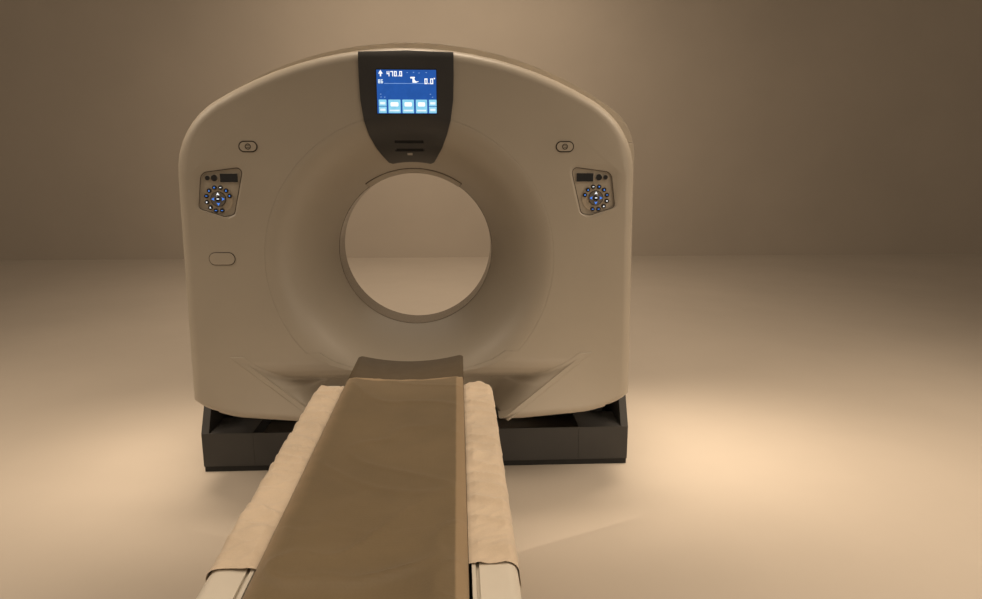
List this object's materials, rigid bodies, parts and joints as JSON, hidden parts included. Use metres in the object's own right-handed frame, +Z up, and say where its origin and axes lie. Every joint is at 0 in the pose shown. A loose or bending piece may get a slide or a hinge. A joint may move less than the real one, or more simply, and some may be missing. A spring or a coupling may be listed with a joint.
{
  "type": "computed tomography scanner",
  "caption": "Computed tomography scanner: tilting ring gantry with a dished bore, display and control panels on a floor base, and a lifting patient table with a sliding cradle.",
  "frame": {"origin": "on the floor under the middle of the bore, at the centre of the gantry's floor anchor pattern", "axes": "+Y along the bore from the patient side to the rear, +Z up, +X to the right as seen from the patient side"},
  "size_m": [1.97, 3.44, 1.898],
  "materials": {
    "cover_white": "satin moulded plastic",
    "brow_white": "satin moulded plastic",
    "table_white": "satin moulded plastic",
    "rail_white": "satin moulded plastic",
    "charcoal": "fine-textured plastic",
    "kick_black": "matt rubber",
    "foot_rubber": "matt rubber",
    "frame_paint": "powder coat",
    "motor_paint": "powder coat",
    "pan_paint": "powder coat",
    "carriage_paint": "anodised",
    "tube_aluminium": "satin",
    "bare_steel": "ground",
    "cast_grey": "cast",
    "drum_aluminium": "machined",
    "tube_paint": "satin paint",
    "tank_paint": "satin paint",
    "detector_dark": "satin paint",
    "window_dark": "smoked polycarbonate",
    "bezel_grey": "satin moulded plastic",
    "screen_blue": "lit display glass",
    "panel_grey": "satin moulded plastic",
    "keypad_rubber": "silicone",
    "key_black": "gloss",
    "key_blue": "gloss",
    "key_silver": "gloss",
    "cradle_laminate": "fibre laminate",
    "pad_taupe": "matt vinyl over foam",
    "cloth_cream": "woven cotton"
  },
  "bodies": {
    "base": {"base_frame": "frame_paint", "pylon_left": "frame_paint", "pylon_right": "frame_paint", "base_front_panel": "charcoal", "base_rear_panel": "charcoal", "end_cap_left": "charcoal", "end_cap_right": "charcoal", "kick_strip": "kick_black", "levelling_feet": "foot_rubber", "tilt_gearmotor": "motor_paint", "docking_bridge": "frame_paint", "table_foot": "frame_paint", "lower_hood": "table_white", "lift_outer_tubes": "tube_aluminium"},
    "lift_middle": {"lift_middle_tubes": "tube_aluminium", "middle_hood": "table_white"},
    "table_top": {"table_frame": "pan_paint", "lift_inner_tubes": "tube_aluminium", "upper_hood": "table_white", "side_rail_left": "rail_white", "side_rail_right": "rail_white", "rail_cloth_left": "cloth_cream", "rail_cloth_right": "cloth_cream", "foot_end_cover": "table_white", "cradle_drive": "motor_paint"},
    "head_roller": {"head_rollers": "bare_steel"},
    "cradle": {"cradle_shell": "cradle_laminate", "cradle_pad": "pad_taupe", "cradle_carriage": "carriage_paint"},
    "gantry": {"tilt_frame": "cast_grey", "bearing_ring": "bare_steel", "front_cover": "cover_white", "front_dish": "cover_white", "rear_cover": "cover_white", "rear_dish": "cover_white", "crown_shell": "cover_white", "side_shell_left": "cover_white", "side_shell_right": "cover_white", "scan_window": "window_dark", "brow_band": "brow_white", "display_bezel": "bezel_grey", "display_screen": "screen_blue", "panel_left": "panel_grey", "panel_right": "panel_grey", "keypad_left": "keypad_rubber", "keypad_right": "keypad_rubber", "access_caps": "cover_white"},
    "rotor": {"rotor_drum": "drum_aluminium", "xray_tube": "tube_paint", "voltage_tank": "tank_paint", "inverter": "tank_paint", "detector_bank": "detector_dark"},
    "small_button_left": {"small_button_left": "key_black"},
    "large_button_left": {"large_button_left": "key_black"},
    "direction_pad_left": {"direction_pad_left": "key_blue"},
    "centre_key_left": {"centre_key_left": "key_silver"},
    "small_button_right": {"small_button_right": "key_black"},
    "large_button_right": {"large_button_right": "key_black"},
    "direction_pad_right": {"direction_pad_right": "key_blue"},
    "centre_key_right": {"centre_key_right": "key_silver"}
  },
  "joints": [
    {"name": "gantry_tilt", "type": "hinge", "parent": "base", "child": "gantry", "pos_m": [0, 0, 1], "axis": [1, 0, 0], "range_deg": [-30, 30]},
    {"name": "rotor_spin", "type": "hinge", "parent": "gantry", "child": "rotor", "pos_m": [0, 0, 1], "axis": [0, 1, 0], "continuous": true},
    {"name": "table_lift", "type": "slide", "parent": "base", "child": "table_top", "axis": [0, 0, 1], "range_m": [-0.15, 0.28]},
    {"name": "middle_lift", "type": "slide", "parent": "base", "child": "lift_middle", "axis": [0, 0, 1], "range_m": [-0.075, 0.14]},
    {"name": "cradle_slide", "type": "slide", "parent": "table_top", "child": "cradle", "axis": [0, 1, 0], "range_m": [0, 0.21]},
    {"name": "head_roller_turn", "type": "hinge", "parent": "table_top", "child": "head_roller", "pos_m": [0, -0.945, 0.5557], "axis": [1, 0, 0], "range_deg": [-602, 0]},
    {"name": "small_button_left_press", "type": "slide", "parent": "gantry", "child": "small_button_left", "axis": [0, 1, 0], "range_m": [0, 0.0015], "stiffness_N_per_m": 900, "springref_m": -0.0005},
    {"name": "large_button_left_press", "type": "slide", "parent": "gantry", "child": "large_button_left", "axis": [0, 1, 0], "range_m": [0, 0.0015], "stiffness_N_per_m": 900, "springref_m": -0.0005},
    {"name": "direction_pad_left_press", "type": "slide", "parent": "gantry", "child": "direction_pad_left", "axis": [0, 1, 0], "range_m": [0, 0.0015], "stiffness_N_per_m": 900, "springref_m": -0.0005},
    {"name": "centre_key_left_press", "type": "slide", "parent": "gantry", "child": "centre_key_left", "axis": [0, 1, 0], "range_m": [0, 0.0015], "stiffness_N_per_m": 900, "springref_m": -0.0005},
    {"name": "small_button_right_press", "type": "slide", "parent": "gantry", "child": "small_button_right", "axis": [0, 1, 0], "range_m": [0, 0.0015], "stiffness_N_per_m": 900, "springref_m": -0.0005},
    {"name": "large_button_right_press", "type": "slide", "parent": "gantry", "child": "large_button_right", "axis": [0, 1, 0], "range_m": [0, 0.0015], "stiffness_N_per_m": 900, "springref_m": -0.0005},
    {"name": "direction_pad_right_press", "type": "slide", "parent": "gantry", "child": "direction_pad_right", "axis": [0, 1, 0], "range_m": [0, 0.0015], "stiffness_N_per_m": 900, "springref_m": -0.0005},
    {"name": "centre_key_right_press", "type": "slide", "parent": "gantry", "child": "centre_key_right", "axis": [0, 1, 0], "range_m": [0, 0.0015], "stiffness_N_per_m": 900, "springref_m": -0.0005}
  ],
  "couplings": [
    {"joint": "middle_lift", "follows": "table_lift", "ratio": 0.5},
    {"joint": "head_roller_turn", "follows": "cradle_slide", "rad_per_m": -50}
  ]
}
